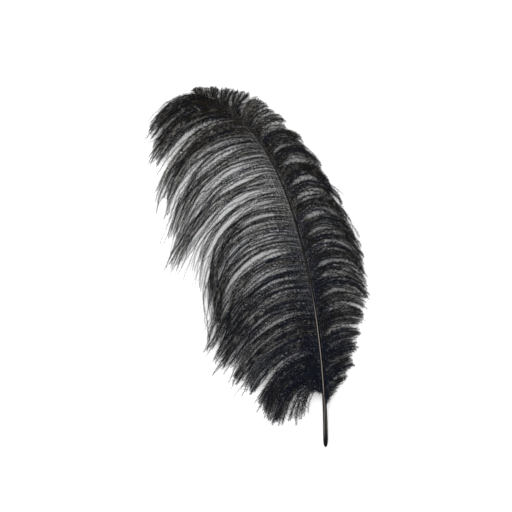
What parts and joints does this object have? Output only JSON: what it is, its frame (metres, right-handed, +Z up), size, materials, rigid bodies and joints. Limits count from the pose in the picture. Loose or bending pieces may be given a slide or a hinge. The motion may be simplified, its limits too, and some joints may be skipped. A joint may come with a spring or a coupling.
{
  "type": "ostrich feather",
  "caption": "Black ostrich wing plume lying flat: a bare quill and slender curved shaft, with a wide drooping vane on one side and a narrow one on the other.",
  "frame": {"origin": "centre of the feather's box, on the surface that it lies on", "axes": "+Y from the quill's end towards the tip, +X towards the narrow vane, +Z up, out of the feather's upper side"},
  "size_m": [0.2316, 0.378, 0.0127],
  "materials": {
    "quill": "smooth dyed horn, black with a brown cast, satin, with fine lengthwise ribs",
    "barbs": "soft loose barbs with fluffy barbules, dyed black, faintly blue in the light"
  },
  "bodies": {
    "root": {"shaft": "quill", "left_vane": "barbs", "right_vane": "barbs"}
  },
  "joints": []
}
